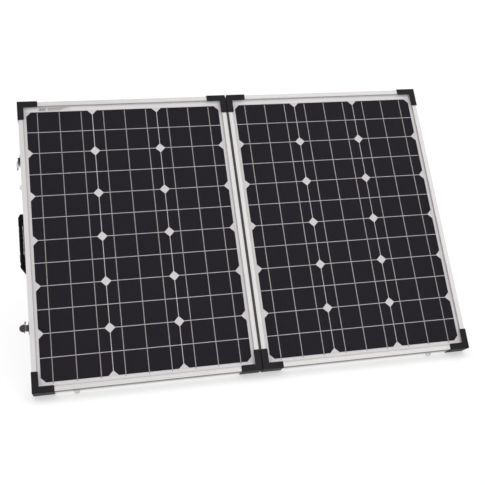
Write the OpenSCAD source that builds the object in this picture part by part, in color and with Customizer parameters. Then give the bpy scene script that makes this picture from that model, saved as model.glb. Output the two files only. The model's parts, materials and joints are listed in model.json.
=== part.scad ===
// Folding two-leaf solar suitcase on rear legs.
// Z is up, the cells face -Y, and the origin is on the ground in the middle
// of the opened suitcase, under the centre of its bounding box.

/* [Leaf] */
// Width of one framed leaf
leaf_w = 508.9; // [500:0.1:530]
// Height of one framed leaf
leaf_h = 700; // [690:1:720]
// Depth of the frame section
frame_t = 35; // [34:0.5:38]
// Width of the front lip of the frame
lip_w = 11; // [9:0.5:13]
// Width of the rear mounting flange
flange_w = 22; // [18:1:22]
// Gap between the two leaves at the hinge
leaf_gap = 5.6; // [5.4:0.1:6]
// How far the opened suitcase leans back from upright, in degrees
lean = 36.64; // [32:0.5:42]

/* [Cells] */
// Width of one cell strip
cell_w = 156.2; // [150:0.1:157]
// Height of one cell strip
cell_h = 53.2; // [48:0.1:53.6]
// Column pitch
col_pitch = 157.6; // [157.4:0.1:159]
// Row pitch
row_pitch = 54.57; // [53.5:0.01:55]
// Corner cut on the outer corners of a pair of strips
cell_cut = 10.8; // [6:0.1:14]

/* [Corner guards] */
// Leg length of a corner guard, measured from its outer corner
guard_l = 48; // [36:1:60]
// Width of a guard's arm on the face
guard_w = 15; // [14:0.5:20]
// Wall thickness of a guard
guard_t = 1.5; // [1.2:0.1:1.5]

/* [Legs] */
// Height of the leg pivot above the leaf's bottom edge
pivot_y = 488; // [484:1:500]
// Side of the square leg tube
tube_w = 18; // [16:0.5:19]
// Pivot to tip-centre length with the leg closed up
leg_len = 430; // [424:1:434]
// Radius of the rubber tip
tip_r = 11; // [10:0.5:11]

/* [Handle and latches] */
// Overall length of the carry handle
handle_l = 152; // [148:1:160]
// Height of the handle's middle above the leaf's bottom edge
handle_y = 351; // [340:1:360]
// Height of the middle between the two latches
latch_y = 347.5; // [340:0.5:360]
// Distance of each latch from the middle height between them
latch_off = 202; // [180:1:230]
// Length of a latch bail
bail_l = 28.5; // [28:0.5:30]

/* [Hidden] */
$fn = 48;

// Leaf frame, shared by all parts: x runs outward from the hinge line,
// y up the leaf from its bottom edge, z forward out of the face.
LEFT = -1;
RIGHT = 1;
inner_x = leaf_gap / 2;
outer_x = inner_x + leaf_w;

// domed bolts, which are also the feet
bolt_r = 3;
bolt_hole_r = 3.1;
dome_r = 6.5;                 // radius of the dome's base
dome_h = 5;                   // height of the dome above its flange
dome_flange_r = 6.8;
dome_flange_t = 1.5;
dome_curve_r = (dome_r * dome_r + dome_h * dome_h) / (2 * dome_h);
foot_x = 418;
foot_z = -28;

// height of the leaf's bottom front edge with the foot domes on the ground
dome_centre = dome_curve_r - dome_h - dome_flange_t;
ground = -dome_centre * cos(lean) - foot_z * sin(lean) + dome_curve_r;

// legs, swung back until their tips touch the ground
pivot_z = -23.5;
leg_x = 476;
pivot_height = ground + pivot_y * cos(lean) + pivot_z * sin(lean);
swing = lean + acos((pivot_height - tip_r) / leg_len);

// latch lever, measured from the leaf's outer edge and face
lever_x = 3.6;
lever_z = -7;
lever_l = 9;                  // lever pivot to centre of the rounded end
lever_end_r = 8.6;

// shift that puts the origin under the centre of the bounding box
tip_back = pivot_y * sin(lean) - pivot_z * cos(lean)
  + leg_len * sin(swing - lean) + tip_r;
origin_x = (lever_x + lever_l + lever_end_r - dome_flange_t - dome_h) / 2;
origin_y = (guard_t * (sin(lean) + cos(lean)) - tip_back) / 2;

// ---------- placing and basic shapes ----------
// Cutting shapes overrun the faces they cut, mostly by 1 mm.
module stand() translate([origin_x, origin_y, ground]) rotate([90 - lean, 0, 0]) children();
module on_leaf(side) stand() if (side == RIGHT) children(); else mirror([1, 0, 0]) children();
// children as drawn, and again mirrored in y
module both_y() for (k = [0, 1]) mirror([0, k, 0]) children();
module box(low, high) translate(low) cube(high - low);
module rod_x(start, radius, length)
  translate(start) rotate([0, 90, 0]) cylinder(r = radius, h = length);
module cone_y(start, start_r, end_r, length)
  translate(start) rotate([-90, 0, 0]) cylinder(r1 = start_r, r2 = end_r, h = length);
module rod_y(start, radius, length)
  translate(start) rotate([-90, 0, 0]) cylinder(r = radius, h = length);
module rod_z(start, radius, length) translate(start) cylinder(r = radius, h = length);
// centred rectangle with rounded corners
module rounded_rect(width, height, radius) {
  square([width - 2 * radius, height], center = true);
  square([width, height - 2 * radius], center = true);
  for (x = [-1, 1], y = [-1, 1])
    translate([x * (width / 2 - radius), y * (height / 2 - radius)]) circle(r = radius);
}
// domed bolt head with a thin flange, standing on z = 0
module dome() {
  cylinder(r = dome_flange_r, h = dome_flange_t);
  translate([0, 0, dome_flange_t]) rotate_extrude() intersection() {
    translate([0, dome_h - dome_curve_r]) circle(r = dome_curve_r);
    square([dome_r, dome_h + 1]);
  }
}

// ---------- frame ----------
wall = 1.6;
lip_t = 2.6;
slot_back = 7.4;              // rear of the glazing slot, behind the face
web_t = 1.4;                  // walls of the closed chamber behind the slot
chamber_w = 9;
chamber_front = slot_back + web_t;
chamber_back = 17;
groove_z = [-5.5, -29.5];     // grooves along the outer wall
mitre = 40;
key_l = 38;
key_gap = 0.1;                // clearance of a key in the chamber
flange_hole_in = 13;          // flange hole centres, in from the frame's edge

// rail section: x into the leaf, y forward
module profile() difference() {
  polygon([
    [0.5, 0], [0, -0.5], [0, -frame_t], [flange_w, -frame_t],
    [flange_w, wall - frame_t], [wall, wall - frame_t],
    [wall, -chamber_back - web_t], [chamber_w, -chamber_back - web_t],
    [chamber_w, -slot_back], [wall, -slot_back], [wall, -lip_t],
    [lip_w, -lip_t], [lip_w, -0.6], [lip_w - 0.6, 0]
  ]);
  translate([wall, -chamber_back])
    square([chamber_w - wall - web_t, chamber_back - chamber_front]);
  // fine grooves along the lip and the outer wall
  for (x = [3.1, lip_w - 3.4]) translate([x, -0.35]) square([0.7, 1]);
  for (z = groove_z) translate([-1, z]) square([1.3, 0.8]);
}
// mitred rail along x, its depth into the leaf is +y
module rail(length) intersection() {
  rotate([90, 0, 90]) linear_extrude(length) profile();
  translate([0, 0, -frame_t - 1]) linear_extrude(frame_t + 2)
    polygon([[0, 0], [length, 0], [length - mitre, mitre], [mitre, mitre]]);
}
module flange_hole(x, y, radius) rod_z([x, y, -frame_t - 1], radius, 3);
module side_flange_holes(x) for (y = [150, 550]) flange_hole(x, y, 3.5);
module top_rail(side) color("gainsboro") on_leaf(side)
  translate([inner_x, leaf_h, 0]) mirror([0, 1, 0]) rail(leaf_w);
module bottom_rail(side) color("gainsboro") on_leaf(side) difference() {
  translate([inner_x, 0, 0]) rail(leaf_w);
  rod_y([foot_x, -1, foot_z], bolt_hole_r, 4);
  for (x = [inner_x + 90, outer_x - 90]) flange_hole(x, flange_hole_in, 2);
}
module outer_rail(side) color("gainsboro") on_leaf(side) difference() {
  translate([outer_x, 0, 0]) mirror([1, 0, 0]) mirror([1, -1, 0]) rail(leaf_h);
  rod_x([outer_x - 4, pivot_y, pivot_z], bolt_hole_r, 6);
  side_flange_holes(outer_x - flange_hole_in);
}
module inner_rail(side) color("gainsboro") on_leaf(side) difference() {
  translate([inner_x, 0, 0]) mirror([1, -1, 0]) rail(leaf_h);
  side_flange_holes(inner_x + flange_hole_in);
}

// children drawn for the corner at the origin, copied to all four corners
module at_corners() {
  translate([inner_x, 0, 0]) children();
  translate([outer_x, 0, 0]) mirror([1, 0, 0]) children();
  translate([inner_x, leaf_h, 0]) mirror([0, 1, 0]) children();
  translate([outer_x, leaf_h, 0]) mirror([0, 1, 0]) mirror([1, 0, 0]) children();
}
// L-shaped keys in the chambers
module corner_keys(side) color("dimgray") on_leaf(side) at_corners() {
  near = wall + key_gap;
  far = chamber_w - web_t - key_gap;
  translate([0, 0, -chamber_back + key_gap])
    linear_extrude(chamber_back - chamber_front - 2 * key_gap)
      polygon([[near, near], [key_l, near], [key_l, far], [far, far], [far, key_l],
        [near, key_l]]);
}
module guard() {
  arm_l = guard_l - guard_t;
  arm_w = guard_w - guard_t;
  corner_r = 1;               // corner radius inside the guard's wall
  difference() {
    translate([0, 0, -frame_t - guard_t]) linear_extrude(frame_t + 2 * guard_t)
      difference() {
        union() {
          translate([-guard_t, corner_r]) square([arm_w + guard_t, arm_l - corner_r]);
          translate([corner_r, -guard_t]) square([arm_l - corner_r, arm_w + guard_t]);
          translate([corner_r, corner_r]) circle(r = corner_r + guard_t);
        }
      }
    // the frame's depth, left free inside
    box([0, 0, -frame_t], [60, 60, 0]);
    // softened tips of both arms on the face and the rear
    for (k = [0, 1]) mirror([k, -k, 0]) translate([arm_l, arm_w, -frame_t - guard_t - 1])
      rotate(45) translate([-1.2, -1.2, 0]) cube([4, 4, frame_t + 2 * guard_t + 2]);
  }
}
module corner_guards(side) color([0.13, 0.125, 0.14]) on_leaf(side) at_corners() guard();

// ---------- laminate ----------
// depths of the layers behind the face
glass_front = 2.7;
glass_back = 5.9;
ribbon_back = 6.08;
cells_back = 6.3;
sheet_back = 7.3;
laminate_in = 3;              // laminate edge, in from the frame's edge
rows = 12;
array_x = (inner_x + outer_x) / 2 + 0.05;
array_y = leaf_h / 2 - 1.6;
ribbon_pitch = 52;
ribbon_w = 1.8;

module layer(front, back) box([inner_x + laminate_in, laminate_in, -back],
  [outer_x - laminate_in, leaf_h - laminate_in, -front]);
module glass(side) color([0.75, 0.85, 0.9, 0.35]) on_leaf(side)
  layer(glass_front, glass_back);
module backsheet(side) color("whitesmoke") on_leaf(side) layer(cells_back, sheet_back);
// strip with its lower corners cut, or its upper ones when flip is 1
module cell_strip(flip) {
  x = cell_w / 2;
  y = cell_h / 2;
  mirror([0, flip, 0])
    polygon([[-x + cell_cut, -y], [x - cell_cut, -y], [x, -y + cell_cut], [x, y],
      [-x, y], [-x, -y + cell_cut]]);
}
module cells(side) color([0.13, 0.12, 0.14]) on_leaf(side)
  for (col = [-1 : 1], row = [0 : rows - 1])
    translate([array_x + col * col_pitch, array_y + (row - (rows - 1) / 2) * row_pitch,
      -cells_back])
      linear_extrude(cells_back - ribbon_back) cell_strip(row % 2);
// three ribbons down each column, in front of the cells
module cell_ribbons(side) color("silver") on_leaf(side) {
  half_h = (rows - 1) / 2 * row_pitch + cell_h / 2;
  for (col = [-1 : 1], k = [-1 : 1])
    translate([array_x + col * col_pitch + k * ribbon_pitch, array_y, 0])
      box([-ribbon_w / 2, -half_h - 4, -ribbon_back],
        [ribbon_w / 2, half_h - 2, -glass_back]);
}

// ---------- junction boxes ----------
junction_y = 625;
junction_w = 94;
junction_h = 62;
junction_d = 14;
junction_wall = 2;
gland_x = 24;
gland_l = 11;
gland_r = 5.8;
gland_bore_r = 3.8;
cable_rise = 6;               // cable centres behind the backsheet

// frame on the rear of a leaf at mid width, z is away from the backsheet
module on_rear(side, y, rise = 0) on_leaf(side)
  translate([array_x, y, -sheet_back - rise]) mirror([0, 0, 1]) children();
module junction_box(side) color([0.1, 0.1, 0.11]) on_rear(side, junction_y) {
  bottom = -junction_h / 2;
  difference() {
    linear_extrude(junction_d) rounded_rect(junction_w, junction_h, 5);
    translate([0, 0, junction_wall]) linear_extrude(junction_d - 1)
      rounded_rect(junction_w - 2 * junction_wall, junction_h - 2 * junction_wall, 3);
    for (x = [-gland_x, gland_x]) rod_y([x, bottom - 5, cable_rise], gland_bore_r, 12);
  }
  // bypass terminal rails inside the box
  for (x = [-gland_x, 0, gland_x]) translate([x, 0, junction_wall]) linear_extrude(4)
    square([10, 24], center = true);
  // cable glands on the lower wall
  for (x = [-gland_x, gland_x]) difference() {
    rod_y([x, bottom - gland_l, cable_rise], gland_r, gland_l);
    rod_y([x, bottom - gland_l - 1, cable_rise], gland_bore_r, gland_l + 2);
  }
}
module junction_lid(side) color([0.12, 0.12, 0.13]) on_rear(side, junction_y, junction_d) {
  linear_extrude(2.4) rounded_rect(junction_w, junction_h, 5);
  translate([0, 0, 2.4]) linear_extrude(1.2) rounded_rect(72, 42, 3);
}

// ---------- feet and legs ----------
leg_gap = 0.1;                // clearance between the leg and what flanks it
tube_wall = 1.5;
tube_end = 290;               // pivot to the tube's lower end
tube_top_r = 11;              // rounding of the tube's upper end
extension_w = tube_w - 2 * (tube_wall + 0.2);
extension_wall = 1.2;
extension_top = 30;           // pivot to the extension's upper end
socket_in = 4;                // tip centre to the extension's lower end
knob_y = -272;
washer_t = 1.2;

module foot_bolt(side) color("silver") on_leaf(side) translate([foot_x, 0, foot_z]) {
  rotate([90, 0, 0]) dome();
  rod_y([0, 0, 0], bolt_r, 12);
  rod_y([0, wall, 0], 5, 5);
}
module leg_pivot(side) color("silver") on_leaf(side)
  translate([outer_x, pivot_y, pivot_z]) {
    leg_outer = leg_x + tube_w / 2 + leg_gap - outer_x;
    leg_inner = leg_x - tube_w / 2 - leg_gap - outer_x;
    // bolt with its domed head outside the rail
    union() {
      rotate([0, 90, 0]) dome();
      rod_x([-53, 0, 0], bolt_r, 53);
    }
    // spacer sleeve from the rail to the leg
    difference() {
      rod_x([leg_outer, 0, 0], 5, -wall - leg_outer);
      rod_x([-60, 0, 0], bolt_r, 60);
    }
    // washer and nut on the hinge side of the leg
    difference() {
      translate([leg_inner, 0, 0]) mirror([1, 0, 0]) {
        rod_x([0, 0, 0], 7, washer_t);
        translate([washer_t, 0, 0]) rotate([0, 90, 0]) cylinder(r = 5.7, h = 5, $fn = 6);
      }
      rod_x([-60, 0, 0], bolt_r, 60);
    }
  }
// leg frame: the pivot is the origin, the leg runs along -y
module at_leg(side) on_leaf(side) translate([leg_x, pivot_y, pivot_z])
  rotate([swing, 0, 0]) children();
module leg_tube(side) color("lightgray") at_leg(side) {
  half = tube_w / 2;
  bore = half - tube_wall;
  difference() {
    union() {
      intersection() {
        box([-half, -tube_end, -half], [half, 12, half]);
        union() {
          rod_x([-20, 0, 0], tube_top_r, 40);
          box([-half, -tube_end, -half], [half, 0, half]);
        }
      }
      // boss for the clamp knob
      rod_x([-half - 4, knob_y, 0], 6, 5);
    }
    box([-bore, -tube_end - 1, -bore], [bore, 13, bore]);
    rod_x([-20, 0, 0], bolt_r + 0.05, 40);
    rod_x([-half - 5, knob_y, 0], bolt_r + 0.05, 9);
  }
}
module leg_extension(side) color("silver") at_leg(side) {
  half = extension_w / 2;
  bore = half - extension_wall;
  difference() {
    box([-half, -leg_len + socket_in, -half], [half, -extension_top, half]);
    box([-bore, -leg_len - 1, -bore], [bore, -extension_top + 1, bore]);
  }
}
module leg_tip(side) color([0.1, 0.1, 0.1]) at_leg(side) {
  half = extension_w / 2;
  difference() {
    union() {
      translate([0, -leg_len, 0]) sphere(r = tip_r);
      rod_y([0, -leg_len, 0], tip_r, 22);
    }
    box([-half, -leg_len + socket_in, -half], [half, -leg_len + 40, half]);
  }
}
// lobed clamp knob on the hinge side of the tube
module leg_knob(side) color([0.1, 0.1, 0.11]) at_leg(side)
  translate([-tube_w / 2, knob_y, 0]) {
    rod_x([-16, 0, 0], bolt_r, 17.6);
    difference() {
      union() {
        rod_x([-18, 0, 0], 9.5, 12);
        rod_x([-20, 0, 0], 6, 3);
        rod_x([-6.5, 0, 0], 5.5, 2);
      }
      for (angle = [0 : 60 : 300]) rotate([angle, 0, 0]) rod_x([-19, 0, 10.8], 3, 14);
    }
  }

// ---------- hinge ----------
fold_z = 1.7;                 // fold axis, in front of the face
hinge_pin_r = 0.8;
knuckle_r = 2.2;
knuckle_count = 12;
knuckle_l = 50;
knuckle_gap = 0.1;
hinge_y = 50;
hinge_l = knuckle_count * knuckle_l;

// children at the start of every even (0) or odd (1) knuckle
module at_knuckles(parity) for (i = [0 : knuckle_count - 1]) if (i % 2 == parity)
  translate([0, hinge_y + i * knuckle_l, 0]) children();
module hinge_leaf(side, parity) color([0.16, 0.16, 0.17]) on_leaf(side) difference() {
  union() {
    box([inner_x - 1.1, hinge_y + knuckle_gap, -18],
      [inner_x, hinge_y + hinge_l - knuckle_gap, fold_z - 0.1]);
    at_knuckles(parity)
      rod_y([0, knuckle_gap, fold_z], knuckle_r, knuckle_l - 2 * knuckle_gap);
  }
  // room for the other leaf's knuckles
  at_knuckles(1 - parity)
    rod_y([0, -knuckle_gap, fold_z], knuckle_r + 0.1, knuckle_l + 2 * knuckle_gap);
  rod_y([0, 0, fold_z], hinge_pin_r + 0.05, leaf_h);
}
module hinge_pin() color("dimgray") stand()
  rod_y([0, hinge_y - 1.5, fold_z], hinge_pin_r, hinge_l + 3);

// ---------- rivets ----------
// pairs of rivets stand at y = +-offset and pass through a plate on x = 0
rivet_r = 1.6;
handle_rivet_y = 30;
handle_rivet_z = -18;
latch_rivet_y = 11;
latch_rivet_z = -20;

module rivet_holes(offset_y, z)
  for (y = [-offset_y, offset_y]) rod_x([-1, y, z], rivet_r, 4);
module rivets(offset_y, z, head_r, plate_t) for (y = [-offset_y, offset_y]) {
  rod_x([0, y, z], rivet_r, plate_t);
  translate([plate_t, y, z]) rotate([0, 90, 0]) rotate_extrude() intersection() {
    translate([0, -head_r]) circle(r = head_r * 1.4);
    square([head_r, head_r]);
  }
}

// ---------- handle ----------
handle_half = handle_l / 2;
handle_plate_t = 2;
handle_pin_x = 8;
handle_pin_z = -28;
handle_pin_r = 2.5;
arm_start = 46;               // the grip's arms, from the handle's middle
arm_end = 52;
bar_x = -0.7;                 // grip bar, from the pin axis
bar_z = 21;
collar_start = 36;
collar_r = 5;
collar_taper = 2.5;
// end block outlines: [out from the rail, in from the handle's end]
upper_block = [
  [0, 6.5], [0, 22], [12.8, 22], [13.5, 19], [12.8, 14.5], [9, 7.4], [7.2, 6.5]
];
lower_block = [
  [0, -1], [0, 22], [12.8, 22], [13.5, 19], [11.2, 14.5], [3, 3.2], [1.2, 0.8]
];

// frame on the outer edge of the left leaf at the handle's middle
module at_handle() on_leaf(LEFT) translate([outer_x, handle_y, 0]) children();
module end_block(outline) translate([0, 0, -frame_t + 0.5]) linear_extrude(13.5)
  polygon([for (p = outline) [p[0], handle_half - p[1]]]);
module handle_base() color([0.12, 0.12, 0.13]) at_handle() difference() {
  union() {
    box([0, -arm_end - 4, -frame_t + 1], [handle_plate_t, arm_end + 4, -3]);
    // blunt upper end block
    end_block(upper_block);
    // lower end block with a long ramp running out to the rail
    mirror([0, 1, 0]) end_block(lower_block);
    // raised ribs across the ramp
    for (i = [0 : 2]) mirror([0, 1, 0])
      translate([0, handle_half - 13 + 4 * i, -frame_t + 2.5]) linear_extrude(9.5)
        polygon([[1, 0], [10.6 - 3 * i, 0], [9.6 - 3 * i, 1.6], [1, 1.6]]);
  }
  both_y() rod_y([handle_pin_x, handle_half - 23, handle_pin_z], handle_pin_r, 12.7);
  rivet_holes(handle_rivet_y, handle_rivet_z);
}
module handle_grip() color([0.1, 0.1, 0.11]) at_handle()
  translate([handle_pin_x, 0, handle_pin_z]) difference() {
    union() {
      both_y() {
        rod_y([0, arm_start, 0], 4.9, arm_end - arm_start);
        box([-4, arm_start, 0], [3.4, arm_end, bar_z]);
        // thick collars with tapered ends
        rod_y([bar_x, collar_start, bar_z], collar_r, arm_end - collar_start);
        cone_y([bar_x, arm_end, bar_z], collar_r, 3.2, collar_taper);
        cone_y([bar_x, collar_start - collar_taper, bar_z], 4.4, collar_r, collar_taper);
      }
      rod_y([bar_x, -34, bar_z], 4.4, 68);
      // thicker bands with finger waists between them
      for (y = [-22 : 11 : 22]) rod_y([bar_x, y - 4.2, bar_z], 4.7, 8.4);
    }
    rod_y([0, -handle_half, 0], handle_pin_r + 0.05, handle_l);
  }

// ---------- latches ----------
UPPER = 1;
LOWER = -1;
latch_plate_t = 1.2;
keeper_plate_t = 1;
lever_pin_r = 1;
bail_pivot = 7;               // lever pivot to bail pivot
bail_half_w = 10.2;
bail_bend_r = 4;
wire_r = 0.9;
// lever angle: 0 is flat against the rail, 90 is straight out
upper_lever = 0;
lower_lever = 90;
// bail angle, from the lever
upper_bail = 14;
lower_bail = 100;

// latch frame: origin at the leaf's outer edge, mid latch
module at_latch(side, level) on_leaf(side)
  translate([outer_x, latch_y + level * latch_off, 0]) children();
module latch_base() difference() {
  union() {
    // plate with cut corners
    difference() {
      box([0, -14, -30], [latch_plate_t, 14, -1.5]);
      for (y = [-1, 1], z = [-1, 1]) translate([-1, y * 14, -15.75 + z * 14.25])
        rotate([45, 0, 0]) translate([0, -2.5, -2.5]) cube([4, 5, 5]);
    }
    // cheeks that carry the lever pin
    both_y() {
      box([0, 5.9, lever_z - 4], [lever_x, 7.1, lever_z + 4]);
      rod_y([lever_x, 5.9, lever_z], 3, 1.2);
      box([1, 5.9, lever_z - 2.9], [lever_x, 7.1, lever_z + 2.9]);
    }
  }
  rod_y([lever_x, -8, lever_z], lever_pin_r, 16);
  rivet_holes(latch_rivet_y, latch_rivet_z);
}
module latch_bases() color([0.2, 0.19, 0.2])
  for (level = [UPPER, LOWER]) at_latch(LEFT, level) latch_base();
// on the lever's pivot: the lever runs along -z and its outer face is +x
module on_lever(level, angle) at_latch(LEFT, level)
  translate([lever_x, 0, lever_z]) rotate([0, -angle, 0]) children();
module lever() difference() {
  union() {
    rod_y([0, -5.6, 0], 2.3, 11.2);
    box([1, -5.6, -lever_l], [2.4, 5.6, 0]);
    rod_y([0, -5.6, -bail_pivot], 1.9, 11.2);
    box([0.2, -5.6, -bail_pivot - 1.9], [1.6, 5.6, -bail_pivot + 1.9]);
    rod_x([1, 0, -lever_l], lever_end_r, 1.4);
    // raised thumb rim at the rounded end
    intersection() {
      difference() {
        rod_x([2.3, 0, -lever_l], lever_end_r, 0.7);
        rod_x([2, 0, -lever_l], lever_end_r - 1.4, 2);
      }
      box([2, -9, -18], [4, 9, -11]);
    }
  }
  rod_y([0, -6, 0], lever_pin_r + 0.05, 12);
  both_y() rod_y([0, 4.6, -bail_pivot], wire_r + 0.05, 2);
}
// wire loop: its pivot stubs lie on the y axis, the loop runs along -z
module bail(angle) translate([0, 0, -bail_pivot]) rotate([0, -angle, 0]) {
  bend_y = bail_half_w - bail_bend_r;
  bend_z = bail_bend_r - bail_l;
  both_y() {
    rod_y([0, 5, 0], wire_r, bail_half_w - 5);
    translate([0, bail_half_w, 0]) sphere(r = wire_r);
    rod_z([0, bail_half_w, bend_z], wire_r, -bend_z);
    translate([0, bend_y, bend_z]) rotate([0, 90, 0])
      rotate_extrude(angle = 90) translate([bail_bend_r, 0]) circle(r = wire_r);
  }
  rod_y([0, -bend_y, -bail_l], wire_r, 2 * bend_y);
}
module upper_latch_lever() color([0.16, 0.15, 0.16]) on_lever(UPPER, upper_lever) lever();
module lower_latch_lever() color([0.16, 0.15, 0.16]) on_lever(LOWER, lower_lever) lever();
module upper_latch_bail() color("silver") on_lever(UPPER, upper_lever) bail(upper_bail);
module lower_latch_bail() color("silver") on_lever(LOWER, lower_lever) bail(lower_bail);
// hooked plates on the right leaf
module latch_keepers() color([0.2, 0.19, 0.2])
  for (level = [UPPER, LOWER]) at_latch(RIGHT, level) difference() {
    union() {
      box([0, -14, -27], [keeper_plate_t, 14, -7]);
      box([0, -5.5, -10], [4.4, 5.5, -8.8]);
      box([3.5, -5.5, -11.6], [4.4, 5.5, -8.8]);
    }
    rivet_holes(latch_rivet_y, latch_rivet_z);
  }

// ---------- charge controller ----------
control_y = 470;
control_w = 134;
control_h = 72;
case_d = 18;
cover_t = 3.5;
display_at = [-26, 6];
display_w = 52.2;
display_h = 28.2;
button_x = 38;
menu_y = 16;
load_y = -8;
button_r = 4.5;
terminal_pitch = 14;
terminal_screw = [-6.5, 9];   // y below the case, z of the screw wells
terminal_ids = [-2.5 : 2.5];  // terminal places, in pitches from the middle

module at_control() on_rear(LEFT, control_y) children();
module at_cover_screws() for (x = [-1, 1], y = [-1, 1])
  translate([x * (control_w / 2 - 6), y * (control_h / 2 - 6), 0]) children();
module at_ear_holes() for (x = [-1, 1])
  translate([x * (control_w / 2 + 7.5), 0, 0]) children();
module at_terminals() for (i = terminal_ids)
  translate([i * terminal_pitch, -control_h / 2, 0]) children();
module controller_case() color([0.14, 0.14, 0.15]) at_control() difference() {
  union() {
    linear_extrude(case_d) rounded_rect(control_w, control_h, 5);
    // mounting ears
    for (x = [-1, 1]) translate([x * (control_w / 2 + 4), 0, 0]) linear_extrude(2.5)
      rounded_rect(16, 30, 4);
    // cooling ribs along the upper wall
    for (x = [-54 : 9 : 54]) translate([x - 1, control_h / 2 - 0.5, 2]) cube([2, 4, 14]);
  }
  translate([0, 0, 2]) linear_extrude(case_d - 1)
    rounded_rect(control_w - 5, control_h - 5, 3);
  at_ear_holes() rod_z([0, 0, -1], 2.2, 5);
}
module controller_cover() color([0.2, 0.2, 0.21]) at_control() translate([0, 0, case_d])
  difference() {
    linear_extrude(cover_t) rounded_rect(control_w, control_h, 5);
    translate([display_at[0], display_at[1], -1]) linear_extrude(6)
      rounded_rect(display_w + 0.2, display_h + 0.2, 2);
    for (y = [load_y, menu_y]) rod_z([button_x, y, -1], button_r + 0.1, 6);
    at_cover_screws() rod_z([0, 0, 2.3], 2.6, 2);
  }
module controller_display() color([0.35, 0.45, 0.4]) at_control()
  translate([display_at[0], display_at[1], case_d]) {
    linear_extrude(2.6) rounded_rect(display_w, display_h, 2);
    // carrier board under the window
    translate([0, 0, -3.5]) linear_extrude(1.6) rounded_rect(64, 40, 1);
    translate([0, 0, -1.9]) linear_extrude(1.9) rounded_rect(48, 24, 1);
  }
module button(y) at_control() translate([button_x, y, 0]) {
  rod_z([0, 0, 16.4], button_r, 6.6);
  rod_z([0, 0, 16.4], 5.8, 1.2);
  translate([0, 0, 23]) cylinder(r = 4, h = 0.5);
}
module menu_button() color("whitesmoke") button(menu_y);
module load_button() color("orangered") button(load_y);
module controller_terminals() color([0.1, 0.25, 0.14]) at_control() difference() {
  translate([0, -control_h / 2, 0]) box([-45, -13, 1], [45, 0, 15]);
  // screw well, wire entry and edge notch of each terminal
  at_terminals() {
    rod_z([0, terminal_screw[0], terminal_screw[1]], 2.8, 8);
    box([-2.9, -14, 3.1], [2.9, -4, 8.9]);
    box([-5, -14, 13], [5, -11, 16]);
  }
}

// ---------- cables ----------
cable_r = 2.6;
cable_z = -sheet_back - cable_rise;
gland_y = junction_y - junction_h / 2 - 1;
entry_y = control_y - control_h / 2 - 5;
link_x = 31;                  // where the link cable drops off the flange
link_y = 560;
link_z = -frame_t - cable_r - 0.6;
plug_x = array_x + 60;
plug_y = 95;
plug_wire_y = 5;              // wire centres, either side of the plug's middle
function terminal_x(i) = array_x + i * terminal_pitch;

// square cable through [x, y] points in the leaf frame, with round joints
module cable(points) translate([0, 0, cable_z - cable_r]) {
  for (i = [0 : len(points) - 2]) {
    run = points[i + 1] - points[i];
    translate(points[i]) rotate(atan2(run[1], run[0])) translate([0, -cable_r, 0])
      cube([norm(run), 2 * cable_r, 2 * cable_r]);
  }
  for (i = [1 : len(points) - 2]) translate([points[i][0], points[i][1], 0])
    cylinder(r = cable_r + 0.3, h = 2 * cable_r);
}
// end of the link cable, climbing over the rear flange beside the hinge
module link_tail() {
  box([12, link_y - cable_r, link_z - cable_r],
    [link_x + cable_r, link_y + cable_r, link_z + cable_r]);
  box([link_x - cable_r, link_y - cable_r, link_z],
    [link_x + cable_r, link_y + cable_r, cable_z + cable_r]);
}
module left_pv_cables() color([0.08, 0.08, 0.08]) on_leaf(LEFT) {
  // pair from the junction box to the controller
  cable([[array_x + gland_x, gland_y], [array_x + gland_x, 560], [array_x + 104, 545],
    [array_x + 104, 396], [terminal_x(1.5), 396], [terminal_x(1.5), entry_y]]);
  cable([[array_x - gland_x, gland_y], [array_x - gland_x, 548], [array_x + 94, 530],
    [array_x + 94, 406], [terminal_x(2.5), 406], [terminal_x(2.5), entry_y]]);
  // link cable from the other leaf
  link_tail();
  cable([[link_x, link_y], [70, link_y], [array_x - 104, link_y - 32],
    [array_x - 104, 404], [terminal_x(-2.5), 404], [terminal_x(-2.5), entry_y]]);
}
module right_pv_cables() color([0.08, 0.08, 0.08]) on_leaf(RIGHT) {
  link_tail();
  cable([[link_x, link_y], [array_x - gland_x - 12, link_y],
    [array_x - gland_x, link_y + 12], [array_x - gland_x, gland_y]]);
}
module output_lead() color([0.08, 0.08, 0.08]) on_leaf(LEFT) {
  low_y = plug_y - plug_wire_y;
  high_y = plug_y + plug_wire_y;
  cable([[terminal_x(-1.5), entry_y], [terminal_x(-1.5), 380], [array_x - 60, 300],
    [array_x - 60, 150], [array_x, low_y], [plug_x, low_y]]);
  cable([[terminal_x(-0.5), entry_y], [terminal_x(-0.5), 372], [array_x - 50, 292],
    [array_x - 50, 156], [array_x + 5, high_y], [plug_x, high_y]]);
}
module output_plug() color([0.15, 0.15, 0.16]) on_leaf(LEFT)
  translate([plug_x, plug_y, cable_z]) difference() {
    union() {
      box([0, -11, -5.5], [30, 11, 5.8]);
      box([26, -13, -5.8], [48, 13, 5.95]);
    }
    for (y = [-plug_wire_y, plug_wire_y]) {
      rod_x([30, y, 0], 3, 20);
      rod_x([-1, y, 0], cable_r, 8);
    }
  }

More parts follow.
